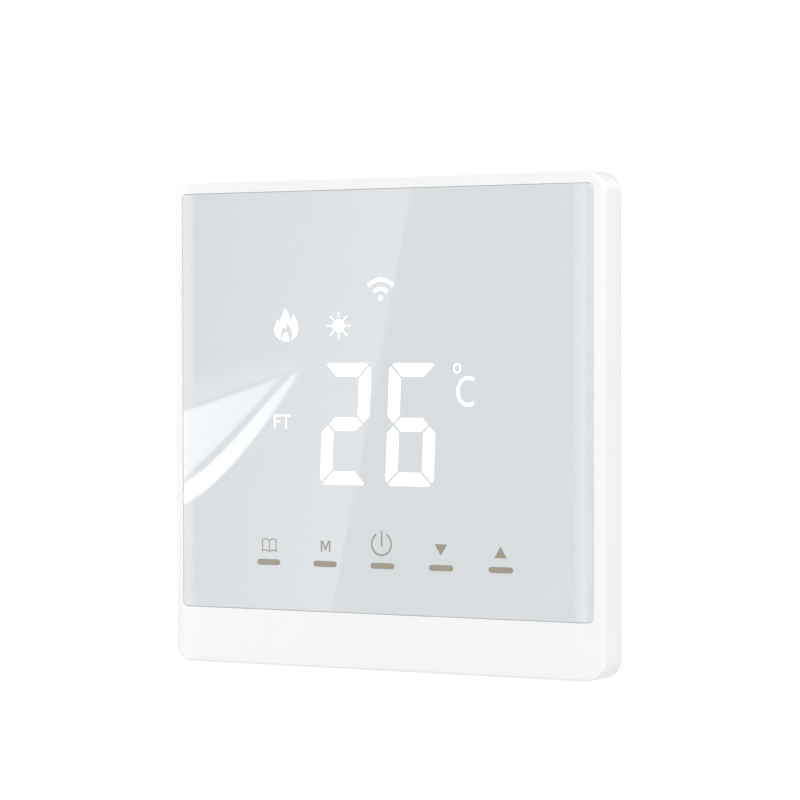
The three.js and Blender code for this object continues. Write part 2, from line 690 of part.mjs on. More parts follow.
// ---- the assembly ----
const displayUnit = new THREE.Group();
displayUnit.add(makeFrontCover());
displayUnit.add(part("lens_panel", lensShape(0, 0), partColours.lensAcrylic));
displayUnit.add(makeDiffuser(), makeDisplayBlock(), makeDisplayBoard());
displayUnit.add(...makeDisplayElectronics(), makePinHeader(), ...makeTouchSprings());
displayUnit.add(makeRearTray(), ...makeUnitScrews());

const wallBase = new THREE.Group();
wallBase.add(makeSteelFrame(), makeRearHousing(), makeHousingLid(), makePowerBoard(), makeHeaderSocket());
wallBase.add(...makePowerElectronics(), ...makeTerminalBlocks(), ...makeTerminalPieces());
wallBase.add(...makeWallScrews(), ...makeHousingScrews());

const thermostat = new THREE.Group();
thermostat.add(wallBase, displayUnit);

export default thermostat;
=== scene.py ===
# Square wall thermostat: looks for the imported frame.
import json
import math

import bmesh
import bpy
from mathutils import Matrix, Vector


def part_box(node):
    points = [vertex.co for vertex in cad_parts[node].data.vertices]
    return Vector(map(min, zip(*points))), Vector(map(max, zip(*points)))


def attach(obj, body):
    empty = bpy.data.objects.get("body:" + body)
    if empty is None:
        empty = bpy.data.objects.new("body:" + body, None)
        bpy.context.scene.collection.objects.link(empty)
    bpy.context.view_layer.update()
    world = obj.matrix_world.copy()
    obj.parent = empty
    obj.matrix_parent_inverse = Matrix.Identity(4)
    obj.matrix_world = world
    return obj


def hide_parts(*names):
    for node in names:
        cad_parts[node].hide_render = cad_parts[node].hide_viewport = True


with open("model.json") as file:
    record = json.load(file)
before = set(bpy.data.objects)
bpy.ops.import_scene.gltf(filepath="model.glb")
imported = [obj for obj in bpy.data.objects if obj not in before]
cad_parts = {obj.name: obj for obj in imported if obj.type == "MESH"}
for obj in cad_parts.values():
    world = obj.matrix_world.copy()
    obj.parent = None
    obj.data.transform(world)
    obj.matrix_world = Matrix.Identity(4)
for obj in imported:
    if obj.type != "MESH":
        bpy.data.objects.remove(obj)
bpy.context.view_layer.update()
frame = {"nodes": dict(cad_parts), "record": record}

mm = 0.001  # shapes below are written in millimetres

coverLow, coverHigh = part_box("front_cover")
lensLow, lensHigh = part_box("lens_panel")
halfFace = coverHigh.x / mm
frontY = coverLow.y / mm
rimY = coverHigh.y / mm


# mesh helpers

class PieceMesh:
    # collects closed lofts, in millimetres

    def __init__(self):
        self.verts = []
        self.faces = []

    def loft(self, loops, capped=True):
        # loops of equal length; capped at both ends, or joined last to first
        count = len(loops[0])
        start = len(self.verts)
        rows = len(loops)
        for loop in loops:
            self.verts.extend(loop)
        for i in range(rows - 1 if capped else rows):
            a = start + i * count
            b = start + ((i + 1) % rows) * count
            for j in range(count):
                k = (j + 1) % count
                self.faces.append((a + j, a + k, b + k, b + j))
        if capped:
            self.faces.append(tuple(range(start, start + count)))
            self.faces.append(tuple(reversed(range(start + (rows - 1) * count, start + rows * count))))

    def plate(self, outline, y0, y1):
        self.loft([[(x, y0, z) for x, z in outline], [(x, y1, z) for x, z in outline]])

    def framePlate(self, outer, inner, y0, y1):
        # a plate with one hole; both outlines have the same number of points
        rings = [(outer, y0), (outer, y1), (inner, y1), (inner, y0)]
        self.loft([[(x, y, z) for x, z in ring] for ring, y in rings], capped=False)


def meshFrom(name, shape):
    mesh = bpy.data.meshes.new(name)
    mesh.from_pydata([(x * mm, y * mm, z * mm) for x, y, z in shape.verts], [], shape.faces)
    work = bmesh.new()
    work.from_mesh(mesh)
    bmesh.ops.recalc_face_normals(work, faces=work.faces)
    work.to_mesh(mesh)
    work.free()
    return mesh


def linkObject(name, mesh):
    obj = bpy.data.objects.new(name, mesh)
    bpy.context.scene.collection.objects.link(obj)
    return obj


def smoothFaces(obj):
    obj.data.polygons.foreach_set("use_smooth", [True] * len(obj.data.polygons))


def addBevel(obj, width):
    bevel = obj.modifiers.new("edges", "BEVEL")
    bevel.width = width * mm
    bevel.segments = 2
    bevel.limit_method = "ANGLE"
    bevel.angle_limit = math.radians(32)
    bevel.use_clamp_overlap = True
    bevel.harden_normals = True


def addWeightedNormals(obj):
    normals = obj.modifiers.new("normals", "WEIGHTED_NORMAL")
    normals.mode = "FACE_AREA"
    normals.weight = 90
    normals.keep_sharp = True


def makePiece(name, shape, material, body, replaced=(), smooth=True):
    obj = linkObject(name, meshFrom(name, shape))
    obj.data.materials.append(material)
    if smooth:
        smoothFaces(obj)
    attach(obj, body)
    if replaced:
        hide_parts(*replaced)
    return obj


# outlines

def arc(cx, cz, radius, startDegrees, endDegrees, steps):
    points = []
    for i in range(steps + 1):
        t = math.radians(startDegrees + (endDegrees - startDegrees) * i / steps)
        points.append((cx + radius * math.cos(t), cz + radius * math.sin(t)))
    return points


def circle(cx, cz, radius, steps=40):
    return arc(cx, cz, radius, 0, 360, steps)[:-1]


def stadium(cx, cz, width, height, steps=12):
    r = height / 2
    reach = width / 2 - r
    return arc(cx + reach, cz, r, -90, 90, steps) + arc(cx - reach, cz, r, 90, 270, steps)


def stroke(points, width):
    # outline of a line drawn with a flat-ended pen, corners mitred
    sharpest = 0.35  # keeps the mitre short at a tight corner
    left = []
    right = []
    for i, point in enumerate(points):
        here = Vector(point)
        before = (here - Vector(points[i - 1])).normalized() if i else None
        after = (Vector(points[i + 1]) - here).normalized() if i + 1 < len(points) else None
        along = ((before or after) + (after or before)).normalized()
        normal = Vector((-along.y, along.x))
        stretch = 1 / max(sharpest, abs(along.dot(after or before)))
        left.append(tuple(here + normal * width / 2 * stretch))
        right.append(tuple(here - normal * width / 2 * stretch))
    return left + right[::-1]


def eased(start, end, steps):
    # points between two values, both ends included
    return [start + (end - start) * i / steps for i in range(steps + 1)]


def faceRing(halfWidth, low, high, radius, flatHalf):
    # rounded rectangle as (x, z), anticlockwise, with the same point count whatever its size
    endSteps = 5
    flatSteps = 16
    cornerSteps = 14
    straight = halfWidth - radius
    across = eased(-straight, -flatHalf, endSteps)[:-1] + eased(-flatHalf, flatHalf, flatSteps)
    across += eased(flatHalf, straight, endSteps)[1:]
    upright = eased(low + radius, high - radius, flatSteps)[1:-1]
    points = [(x, low) for x in across]
    points += arc(straight, low + radius, radius, -90, 0, cornerSteps)[1:]
    points += [(halfWidth, z) for z in upright]
    points += arc(straight, high - radius, radius, 0, 90, cornerSteps)
    points += [(x, high) for x in reversed(across[1:-1])]
    points += arc(-straight, high - radius, radius, 90, 180, cornerSteps)
    points += [(-halfWidth, z) for z in reversed(upright)]
    points += arc(-straight, low + radius, radius, 180, 270, cornerSteps)[:-1]
    return points


# materials

def newMaterial(name):
    material = bpy.data.materials.new(name)
    material.use_nodes = True
    material.node_tree.nodes.clear()
    output = material.node_tree.nodes.new("ShaderNodeOutputMaterial")
    shader = material.node_tree.nodes.new("ShaderNodeBsdfPrincipled")
    material.node_tree.links.new(shader.outputs["BSDF"], output.inputs["Surface"])
    return material, material.node_tree, shader


def objectPoint(tree, stretch=(1, 1, 1)):
    coords = tree.nodes.new("ShaderNodeTexCoord")
    mapping = tree.nodes.new("ShaderNodeMapping")
    mapping.inputs["Scale"].default_value = stretch
    tree.links.new(coords.outputs["Object"], mapping.inputs["Vector"])
    return mapping.outputs["Vector"]


def noise(tree, point, size, detail=2.0):
    # size of the grain in millimetres
    node = tree.nodes.new("ShaderNodeTexNoise")
    node.inputs["Scale"].default_value = 1 / (size * mm)
    node.inputs["Detail"].default_value = detail
    tree.links.new(point, node.inputs["Vector"])
    return node.outputs["Fac"]


def ranged(tree, value, low, high, fromLow=0.3, fromHigh=0.7):
    node = tree.nodes.new("ShaderNodeMapRange")
    node.inputs["From Min"].default_value = fromLow
    node.inputs["From Max"].default_value = fromHigh
    node.inputs["To Min"].default_value = low
    node.inputs["To Max"].default_value = high
    tree.links.new(value, node.inputs["Value"])
    return node.outputs["Result"]


def mixed(tree, value, first, second):
    node = tree.nodes.new("ShaderNodeMix")
    node.data_type = "RGBA"
    node.inputs["A"].default_value = (*first, 1)
    node.inputs["B"].default_value = (*second, 1)
    tree.links.new(value, node.inputs["Factor"])
    return node.outputs["Result"]


def addBump(tree, shader, height, strength, depth):
    # depth in millimetres
    bump = tree.nodes.new("ShaderNodeBump")
    bump.inputs["Strength"].default_value = strength
    bump.inputs["Distance"].default_value = depth * mm
    tree.links.new(height, bump.inputs["Height"])
    tree.links.new(bump.outputs["Normal"], shader.inputs["Normal"])


def plastic(name, look):
    # moulded plastic: slow colour drift, fine texture from the tool, uneven gloss
    material, tree, shader = newMaterial(name)
    point = objectPoint(tree)
    drift = ranged(tree, noise(tree, point, look["driftSize"]), 0, 1)
    grain = noise(tree, point, look["grainSize"], 3)
    first = look["colour"]
    second = tuple(c * look["driftShade"] for c in first)
    tree.links.new(mixed(tree, drift, first, second), shader.inputs["Base Color"])
    rough = look["roughness"]
    tree.links.new(ranged(tree, grain, rough * 0.88, rough * 1.12), shader.inputs["Roughness"])
    addBump(tree, shader, grain, look["grainStrength"], look["grainDepth"])
    shader.inputs["IOR"].default_value = look.get("ior", 1.47)
    return material


def metal(name, look):
    # brushed, rolled or plated metal; stretch squeezes the marks along one axis
    material, tree, shader = newMaterial(name)
    point = objectPoint(tree, look["stretch"])
    marks = noise(tree, point, look["markSize"], 4)
    cloud = ranged(tree, noise(tree, objectPoint(tree), look["cloudSize"]), 0, 1)
    first = look["colour"]
    second = tuple(c * look["cloudShade"] for c in first)
    tree.links.new(mixed(tree, cloud, first, second), shader.inputs["Base Color"])
    rough = look["roughness"]
    tree.links.new(ranged(tree, marks, rough * 0.75, rough * 1.3), shader.inputs["Roughness"])
    addBump(tree, shader, marks, look["markStrength"], look["markDepth"])
    shader.inputs["Metallic"].default_value = 1
    return material


coverLook = {
    "colour": (0.785, 0.785, 0.783),
    "driftShade": 0.988,
    "driftSize": 14,
    "roughness": 0.36,
    "grainSize": 6,
    "grainStrength": 0.05,
    "grainDepth": 0.01,
    "ior": 1.49,
}

trayLook = dict(coverLook, colour=(0.79, 0.79, 0.78), roughness=0.5, grainSize=0.4, grainStrength=0.3)

housingLook = {
    "colour": (0.77, 0.77, 0.755),
    "driftShade": 0.965,
    "driftSize": 9,
    "roughness": 0.52,
    "grainSize": 0.3,
    "grainStrength": 0.4,
    "grainDepth": 0.03,
}

blockLook = dict(housingLook, colour=(0.82, 0.82, 0.81), grainStrength=0.2)

blackLook = dict(housingLook, colour=(0.022, 0.023, 0.026), driftShade=1.5, roughness=0.46)

greyLook = dict(housingLook, colour=(0.30, 0.33, 0.36), roughness=0.34, grainStrength=0.15)

sleeveLook = dict(housingLook, colour=(0.02, 0.024, 0.04), roughness=0.24, grainStrength=0.1)

varistorLook = dict(housingLook, colour=(0.04, 0.10, 0.34), roughness=0.22, grainSize=0.9)

terminalLook = {
    "colour": (0.045, 0.26, 0.14),
    "driftShade": 0.88,
    "driftSize": 5,
    "roughness": 0.38,
    "grainSize": 0.25,
    "grainStrength": 0.3,
    "grainDepth": 0.02,
}

zincLook = {
    "colour": (0.66, 0.68, 0.71),
    "cloudShade": 0.84,
    "cloudSize": 3.5,
    "roughness": 0.30,
    "markSize": 0.5,
    "markStrength": 0.2,
    "markDepth": 0.01,
    "stretch": (1, 1, 9),
}

screwLook = dict(zincLook, colour=(0.70, 0.71, 0.73), roughness=0.24, stretch=(1, 1, 1), markSize=0.3)

clampLook = dict(zincLook, colour=(0.74, 0.71, 0.66), roughness=0.22, cloudShade=0.9)

springLook = dict(zincLook, colour=(0.75, 0.75, 0.76), roughness=0.18, stretch=(1, 1, 1))

canLook = dict(zincLook, colour=(0.72, 0.73, 0.74), roughness=0.26, stretch=(9, 1, 1))

brassLook = dict(zincLook, colour=(0.83, 0.62, 0.28), roughness=0.24, cloudShade=0.88)

goldLook = dict(zincLook, colour=(0.95, 0.70, 0.30), roughness=0.2, cloudShade=0.94)


def makeLensMaterial():
    # polished acrylic over a pale back print: smooth skin, slight mottle, faint wipe marks in the gloss
    look = {
        "print": (0.627, 0.653, 0.674),
        "printShade": 0.993,
        "mottle": 5,
        "roughness": 0.015,
        "wipe": 0.012,
        "wipeSize": 8,
        "waveSize": 26,
        "waveStrength": 0.05,
        "waveDepth": 0.01,
        "ior": 1.49,
    }
    material, tree, shader = newMaterial("lensAcrylic")
    point = objectPoint(tree)
    mottle = ranged(tree, noise(tree, point, look["mottle"], 3), 0, 1)
    second = tuple(c * look["printShade"] for c in look["print"])
    tree.links.new(mixed(tree, mottle, look["print"], second), shader.inputs["Base Color"])
    wipe = noise(tree, objectPoint(tree, (1, 1, 0.2)), look["wipeSize"], 4)
    rough = look["roughness"]
    tree.links.new(ranged(tree, wipe, rough, rough + look["wipe"]), shader.inputs["Roughness"])
    wave = noise(tree, point, look["waveSize"], 0)
    addBump(tree, shader, wave, look["waveStrength"], look["waveDepth"])
    shader.inputs["IOR"].default_value = look["ior"]
    return material


def makeLitMaterial():
    # light from the block behind, drifting a little in strength from place to place
    look = {
        "colour": (1.0, 1.0, 0.995),
        "film": (0.8, 0.8, 0.8),
        "strength": 0.42,
        "dimmest": 0.9,
        "brightest": 1.2,
        "cell": 3.2,
        "smooth": 0.06,
        "rough": 0.12,
    }
    material, tree, shader = newMaterial("litWhite")
    shader.inputs["Base Color"].default_value = (*look["film"], 1)
    shader.inputs["Emission Color"].default_value = (*look["colour"], 1)
    cells = noise(tree, objectPoint(tree), look["cell"])
    level = look["strength"]
    strength = ranged(tree, cells, level * look["dimmest"], level * look["brightest"])
    tree.links.new(strength, shader.inputs["Emission Strength"])
    tree.links.new(ranged(tree, cells, look["smooth"], look["rough"]), shader.inputs["Roughness"])
    return material


def makePrintMaterial():
    # screen-printed ink with metallic flake
    look = {
        "ink": (0.257, 0.231, 0.176),
        "flake": (0.293, 0.264, 0.204),
        "flakeSize": 0.07,
        "flakeStrength": 0.15,
        "flakeDepth": 0.005,
        "roughness": 0.34,
    }
    material, tree, shader = newMaterial("keyPrint")
    flake = noise(tree, objectPoint(tree), look["flakeSize"], 1)
    tint = mixed(tree, ranged(tree, flake, 0, 1, 0.45, 0.7), look["ink"], look["flake"])
    tree.links.new(tint, shader.inputs["Base Color"])
    rough = look["roughness"]
    tree.links.new(ranged(tree, flake, rough, rough * 1.3), shader.inputs["Roughness"])
    addBump(tree, shader, flake, look["flakeStrength"], look["flakeDepth"])
    return material


def makeBoardMaterial():
    # solder mask with copper tracks under it, seen as lighter lines
    look = {
        "mask": (0.012, 0.13, 0.045),
        "track": (0.03, 0.24, 0.075),
        "cell": 3.4,
        "trackWidth": 0.045,
        "trackStrength": 0.4,
        "trackDepth": 0.03,
        "roughness": 0.3,
    }
    material, tree, shader = newMaterial("circuitBoard")
    cells = tree.nodes.new("ShaderNodeTexVoronoi")
    cells.feature = "DISTANCE_TO_EDGE"
    cells.inputs["Scale"].default_value = 1 / (look["cell"] * mm)
    tree.links.new(objectPoint(tree, (1, 0.01, 1)), cells.inputs["Vector"])
    line = ranged(tree, cells.outputs["Distance"], 1, 0, 0, look["trackWidth"])
    tree.links.new(mixed(tree, line, look["mask"], look["track"]), shader.inputs["Base Color"])
    rough = look["roughness"]
    tree.links.new(ranged(tree, line, rough, rough * 0.8, 0, 1), shader.inputs["Roughness"])
    addBump(tree, shader, line, look["trackStrength"], look["trackDepth"])
    return material


def makeTapeMaterial():
    # wound tape: overlapping turns along the winding, each darkening towards the next turn as painted shade
    # at the step between them; the bump gives the turns their relief
    look = {
        "tape": (0.74, 0.50, 0.05),
        "shade": (0.48, 0.31, 0.03),
        "turn": 1.9,
        "turnStrength": 0.5,
        "turnDepth": 0.06,
        "smooth": 0.24,
        "rough": 0.36,
    }
    waveLength = 0.314  # metres from wave to wave at a scale of 1
    material, tree, shader = newMaterial("windingTape")
    wave = tree.nodes.new("ShaderNodeTexWave")
    wave.bands_direction = "Y"
    wave.wave_profile = "SAW"
    wave.inputs["Scale"].default_value = waveLength / (look["turn"] * mm)
    wave.inputs["Distortion"].default_value = 0.4
    tree.links.new(objectPoint(tree), wave.inputs["Vector"])
    turns = wave.outputs["Fac"]
    # tape colour running to a darker tone along each turn: painted shade where the next turn lies over it
    tree.links.new(mixed(tree, turns, look["tape"], look["shade"]), shader.inputs["Base Color"])
    tree.links.new(ranged(tree, turns, look["smooth"], look["rough"], 0, 1), shader.inputs["Roughness"])
    addBump(tree, shader, turns, look["turnStrength"], look["turnDepth"])
    return material


print("materials")
finishes = {
    "cover_white": plastic("coverPlastic", coverLook),
    "lens_acrylic": makeLensMaterial(),
    "diffuser_film": plastic("diffuserFilm", dict(trayLook, colour=(0.78, 0.81, 0.83))),
    "display_block": plastic("displayBlock", blockLook),
    "circuit_board": makeBoardMaterial(),
    "black_plastic": plastic("blackPlastic", blackLook),
    "radio_can": metal("radioCan", canLook),
    "spring_steel": metal("springSteel", springLook),
    "tray_white": plastic("trayPlastic", trayLook),
    "housing_white": plastic("housingPlastic", housingLook),
    "zinc_steel": metal("zincSteel", zincLook),
    "screw_steel": metal("screwSteel", screwLook),
    "clamp_steel": metal("clampSteel", clampLook),
    "contact_brass": metal("contactBrass", brassLook),
    "pin_gold": metal("pinGold", goldLook),
    "terminal_green": plastic("terminalPlastic", terminalLook),
    "winding_tape": makeTapeMaterial(),
    "film_grey": plastic("filmBox", greyLook),
    "varistor_blue": plastic("varistorEpoxy", varistorLook),
    "capacitor_sleeve": plastic("capacitorSleeve", sleeveLook),
    "lit_marks": makeLitMaterial(),
    "key_print": makePrintMaterial(),
}


# the rolled front

cover = {
    "corner": 3.4,
    "wall": 1.5,
    "rollWidth": 5.6,
    "rollDepth": 1.5,
    "edge": 0.45,
    "rimEdge": 0.2,
    "pocketEdge": 0.08,
    "pocketGap": 0.02,
    "pocketDepth": 1.5,
    "seatEdge": 0.1,
    "ledgeBack": -9.3,
    "windowHalf": 34.5,
    "windowLow": -28.5,
    "windowHigh": 35.5,
    "windowCorner": 0.5,
    "bosses": [(-38, 38), (38, 38), (-38, -36), (38, -36)],
    "bossRadius": 2.4,
    "bossBore": 1.25,
    "bossBack": -7.4,
}
lensSize = {
    "half": lensHigh.x / mm,
    "low": lensLow.z / mm,
    "high": lensHigh.z / mm,
    "corner": 1.0,
    "thickness": 1.2,
    "edge": 0.22,
    "backEdge": 0.15,
}
rollStart = halfFace - cover["rollWidth"]


def frontDepth(x):
    # the front is flat in the middle and rolls back at the left and right
    into = min(1, max(0, abs(x) - rollStart) / cover["rollWidth"])
    return frontY + cover["rollDepth"] * (1 - math.sqrt(1 - into * into))


# camera, floor and light

def direction(azimuth, elevation):
    # azimuth in degrees from straight in front, towards the right-hand side
    a = math.radians(azimuth)
    e = math.radians(elevation)
    return Vector((math.sin(a) * math.cos(e), -math.cos(a) * math.cos(e), math.sin(e)))


def makeCamera():
    view = {
        "azimuth": 29.724,
        "elevation": 1.352,
        "distance": 569.954,
        "lens": 147.33,
        "aimAcross": 3.554,
        "aimUp": 4.198,
        "roll": -0.13,
    }
    azimuth = math.radians(view["azimuth"])
    faceCentre = Vector((0, frontY, 0))
    place = faceCentre + direction(view["azimuth"], view["elevation"]) * view["distance"]
    aim = faceCentre + Vector((math.cos(azimuth), math.sin(azimuth), 0)) * view["aimAcross"]
    aim.z += view["aimUp"]
    ahead = (aim - place).normalized()
    right = ahead.cross(Vector((0, 0, 1))).normalized()
    up = right.cross(ahead)
    turn = Matrix.Rotation(-math.radians(view["roll"]), 3, ahead)
    axes = Matrix((turn @ right, turn @ up, -ahead)).transposed()
    camera = bpy.data.objects.new("camera", bpy.data.cameras.new("camera"))
    bpy.context.scene.collection.objects.link(camera)
    camera.matrix_world = Matrix.Translation(place * mm) @ axes.to_4x4()
    camera.data.lens = view["lens"]
    camera.data.sensor_width = 36
    camera.data.clip_start = 0.01
    camera.data.clip_end = 20
    bpy.context.scene.camera = camera
    return place


def makeWorld():
    # bright to the camera, softer on the object so that the lamps can shape it
    look = {"backdrop": 1.0, "ambient": 0.56}
    world = bpy.data.worlds.new("studio")
    bpy.context.scene.world = world
    world.use_nodes = True
    tree = world.node_tree
    backdrop = tree.nodes["Background"]
    backdrop.inputs["Color"].default_value = (1, 1, 1, 1)
    backdrop.inputs["Strength"].default_value = look["backdrop"]
    ambient = tree.nodes.new("ShaderNodeBackground")
    ambient.inputs["Color"].default_value = (1, 1, 1, 1)
    ambient.inputs["Strength"].default_value = look["ambient"]
    ray = tree.nodes.new("ShaderNodeLightPath")
    choose = tree.nodes.new("ShaderNodeMixShader")
    tree.links.new(ray.outputs["Is Camera Ray"], choose.inputs[0])
    tree.links.new(ambient.outputs[0], choose.inputs[1])
    tree.links.new(backdrop.outputs[0], choose.inputs[2])
    tree.links.new(choose.outputs[0], tree.nodes["World Output"].inputs["Surface"])
    bpy.context.scene.view_settings.view_transform = "Standard"
    bpy.context.scene.view_settings.look = "None"


def makeFloor():
    # pale round floor well under the object, fading into the backdrop at its rim
    look = {
        "radius": 0.85,
        "drop": 0.25,
        "fadeFrom": 0.3,
        "fadeTo": 0.8075,
        "colour": (0.86, 0.86, 0.86),
        "roughness": 0.6,
    }
    mesh = bpy.data.meshes.new("floor")
    work = bmesh.new()
    bmesh.ops.create_circle(work, cap_ends=True, segments=96, radius=look["radius"])
    work.to_mesh(mesh)
    work.free()
    floor = linkObject("floor", mesh)
    floor.location.z = -halfFace * mm - look["drop"]
    material, tree, shader = newMaterial("paleFloor")
    shader.inputs["Base Color"].default_value = (*look["colour"], 1)
    shader.inputs["Roughness"].default_value = look["roughness"]
    glow = tree.nodes.new("ShaderNodeEmission")
    glow.inputs["Strength"].default_value = 1
    length = tree.nodes.new("ShaderNodeVectorMath")
    length.operation = "LENGTH"
    tree.links.new(objectPoint(tree), length.inputs[0])
    fade = ranged(tree, length.outputs["Value"], 0, 1, look["fadeFrom"], look["fadeTo"])
    choose = tree.nodes.new("ShaderNodeMixShader")
    tree.links.new(fade, choose.inputs[0])
    tree.links.new(shader.outputs["BSDF"], choose.inputs[1])
    tree.links.new(glow.outputs[0], choose.inputs[2])
    tree.links.new(choose.outputs[0], tree.nodes["Material Output"].inputs["Surface"])
    mesh.materials.append(material)


def addLamp(name, azimuth, elevation, power, size):
    distance = 1.5  # metres from the middle of the object
    back = direction(azimuth, elevation)
    data = bpy.data.lights.new(name, "AREA")
    data.shape = "DISK"
    data.size = size
    data.energy = power
    lamp = bpy.data.objects.new(name, data)
    bpy.context.scene.collection.objects.link(lamp)
    lamp.location = back * distance
    lamp.rotation_mode = "QUATERNION"
    lamp.rotation_quaternion = back.to_track_quat("Z", "Y")
    lamp.visible_camera = False


def makeLamps():
    # name: azimuth, elevation, watts, size in metres
    lamps = {
        "keyLamp": (45, 34, 15.2, 0.9),
        "leftFill": (-86, 12, 9, 1.0),
        "backLeft": (235, 35, 9, 0.9),
        "backRight": (140, 25, 4, 0.9),
        "lowFill": (20, -50, 3, 1.0),
    }
    for name, (azimuth, elevation, power, size) in lamps.items():
        addLamp(name, azimuth, elevation, power, size)


def cardMaterial(name, strength):
    # glow follows the card's own vertex values
    material = bpy.data.materials.new(name)
    material.use_nodes = True
    tree = material.node_tree
    tree.nodes.clear()
    output = tree.nodes.new("ShaderNodeOutputMaterial")
    glow = tree.nodes.new("ShaderNodeEmission")
    clear = tree.nodes.new("ShaderNodeBsdfTransparent")
    choose = tree.nodes.new("ShaderNodeMixShader")
    level = tree.nodes.new("ShaderNodeAttribute")
    level.attribute_name = "glow"
    glow.inputs["Strength"].default_value = strength
    tree.links.new(level.outputs["Fac"], choose.inputs[0])
    tree.links.new(clear.outputs[0], choose.inputs[1])
    tree.links.new(glow.outputs[0], choose.inputs[2])
    tree.links.new(choose.outputs[0], output.inputs["Surface"])
    return material


def addCard(name, rows, strength):
    # rows of (x, y, z, glow) in metres; seen only in reflections
    width = len(rows[0])
    verts = [point[:3] for row in rows for point in row]
    faces = []
    for i in range(len(rows) - 1):
        for j in range(width - 1):
            a = i * width + j
            faces.append((a, a + 1, a + width + 1, a + width))
    mesh = bpy.data.meshes.new(name)
    mesh.from_pydata(verts, [], faces)
    level = mesh.attributes.new("glow", "FLOAT", "POINT")
    level.data.foreach_set("value", [point[3] for row in rows for point in row])
    mesh.materials.append(cardMaterial(name, strength))
    card = linkObject(name, mesh)
    card.visible_camera = False
    card.visible_diffuse = False
    card.visible_shadow = False
    card.visible_transmission = False


def lensCard(name, cameraPlace, rows, strength):
    # rows of (x, z, glow) on the lens face, thrown out to where the lens sees them, roll included
    reach = 430  # from the lens to the card
    step = 0.01
    thrown = []
    for row in rows:
        line = []
        for x, z, glow in row:
            point = Vector((x, frontDepth(x), z))
            slope = (frontDepth(x + step) - frontDepth(x - step)) / (2 * step)
            normal = Vector((slope, -1, 0)).normalized()
            seen = (point - cameraPlace).normalized()
            line.append((*((point + seen.reflect(normal) * reach) * mm), glow))
        thrown.append(line)
    addCard(name, thrown, strength)


lensEdge = 0.05 - lensSize["half"]  # past the lens edge there is nothing to reflect a card


def makeWindowBand(cameraPlace):
    # the slanting edge of light across the lens: brightest at the edge, fading to the left
    band = {
        "top": (6.55, 40.9),
        "bottom": (-9.73, -32.75),
        "overrun": 8,
        "width": 52,
        "fade": 1.25,
        "strength": 2.1,
    }
    topX, topZ = band["top"]
    bottomX, bottomZ = band["bottom"]
    slope = (topX - bottomX) / (topZ - bottomZ)
    steps = 48
    rows = []
    for z in (bottomZ - band["overrun"], topZ + band["overrun"]):
        edge = bottomX + slope * (z - bottomZ)
        row = []
        for i in range(steps + 1):
            x = edge + (lensEdge - edge) * i / steps
            row.append((x, z, (1 - (edge - x) / band["width"]) ** band["fade"]))
        rows.append(row)
    lensCard("windowBand", cameraPlace, rows, band["strength"])


def bezier(points, steps):
    # cubic curve through its four control points
    a, b, c, d = [Vector(p) for p in points]
    curve = []
    for i in range(steps + 1):
        t = i / steps
        s = 1 - t
        curve.append(tuple(a * s ** 3 + b * 3 * s * s * t + c * 3 * s * t * t + d * t ** 3))
    return curve


def heightAt(curve, x):
    # height of a left-to-right curve at x
    for (x0, z0), (x1, z1) in zip(curve, curve[1:]):
        if x <= x1:
            return z0 + (z1 - z0) * (x - x0) / (x1 - x0)
    return curve[-1][1]


def makeSweeps(cameraPlace):
    # curved light trails in the lower left of the lens, each between two curves
    sweeps = {
        "brightTrail": {
            "upper": [(-41, -11.3), (-33.1, -7.3), (-24.7, 2.5), (-17.4, 8.9)],
            "lower": [(-41, -14.7), (-35, -13.2), (-23.3, -1.5), (-16.4, 9.2)],
            "strength": 12.5,
            "edge": 1.0,
        },
        "paleWedge": {
            "upper": [(-41, 1.8), (-35, 3.4), (-28, 5.6), (-20.2, 8.1)],
            "lower": [(-41, -10.4), (-34, -4.6), (-27.5, 0.6), (-20.4, 7.9)],
            "strength": 7.5,
            "edge": 1.0,
        },
        "wedgeGlow": {
            "upper": [(-41, 8.2), (-36, 9.5), (-27, 12.5), (-17, 12.5)],
            "lower": [(-41, 2.7), (-36, 4.2), (-28, 6.6), (-17, 9.8)],
            "strength": 2.8,
            "edge": 0.0,
        },
    }
    # columns share one x from top to bottom, set close together where the lens rolls back
    steps = 40
    across = 4
    rollEnd = 0.4 - rollStart
    tipGap = 0.02
    for name, sweep in sweeps.items():
        upper = bezier(sweep["upper"], 60)
        lower = bezier(sweep["lower"], 60)
        tip = lower[-1][0]
        places = eased(lensEdge, rollEnd, steps) + eased(rollEnd, tip - tipGap, steps)[1:]
        level = [1 + (sweep["edge"] - 1) * k / across for k in range(across + 1)]
        columns = []
        for x in places:
            high = heightAt(upper, x)
            low = heightAt(lower, x)
            columns.append([(x, low + (high - low) * k / across, level[k]) for k in range(across + 1)])
        lensCard(name, cameraPlace, columns, sweep["strength"])


def makeFan(cameraPlace):
    # faint streaks fanning out below the bright trail
    fan = {
        "tip": (-15.5, 6),
        "foot": (-37, -29),
        "pitch": (4.1, -1.2),
        "footWidth": 2.4,
        "count": 7,
        "glow": 0.55,
        "strength": 2.2,
    }
    steps = 16
    tipX, tipZ = fan["tip"]
    pitchX, pitchZ = fan["pitch"]
    level = [fan["glow"] * math.sin(math.pi * min(1, k / 15)) ** 0.7 for k in range(steps + 1)]
    for i in range(fan["count"]):
        footX = fan["foot"][0] + pitchX * i
        footZ = fan["foot"][1] + pitchZ * i
        footEnd = footX + fan["footWidth"]
        left = bezier([(tipX - 0.2, tipZ), (tipX - 1, -2), (footX + 4, -14), (footX, footZ)], steps)
        right = bezier([(tipX, tipZ), (tipX + 0.2, -2), (footX + 6, -14), (footEnd, footZ)], steps)
        rows = [[(x, z, 0.0) for x, z in left], [(x, z, g) for (x, z), g in zip(right, level)]]
        lensCard("streak" + str(i + 1), cameraPlace, rows, fan["strength"])


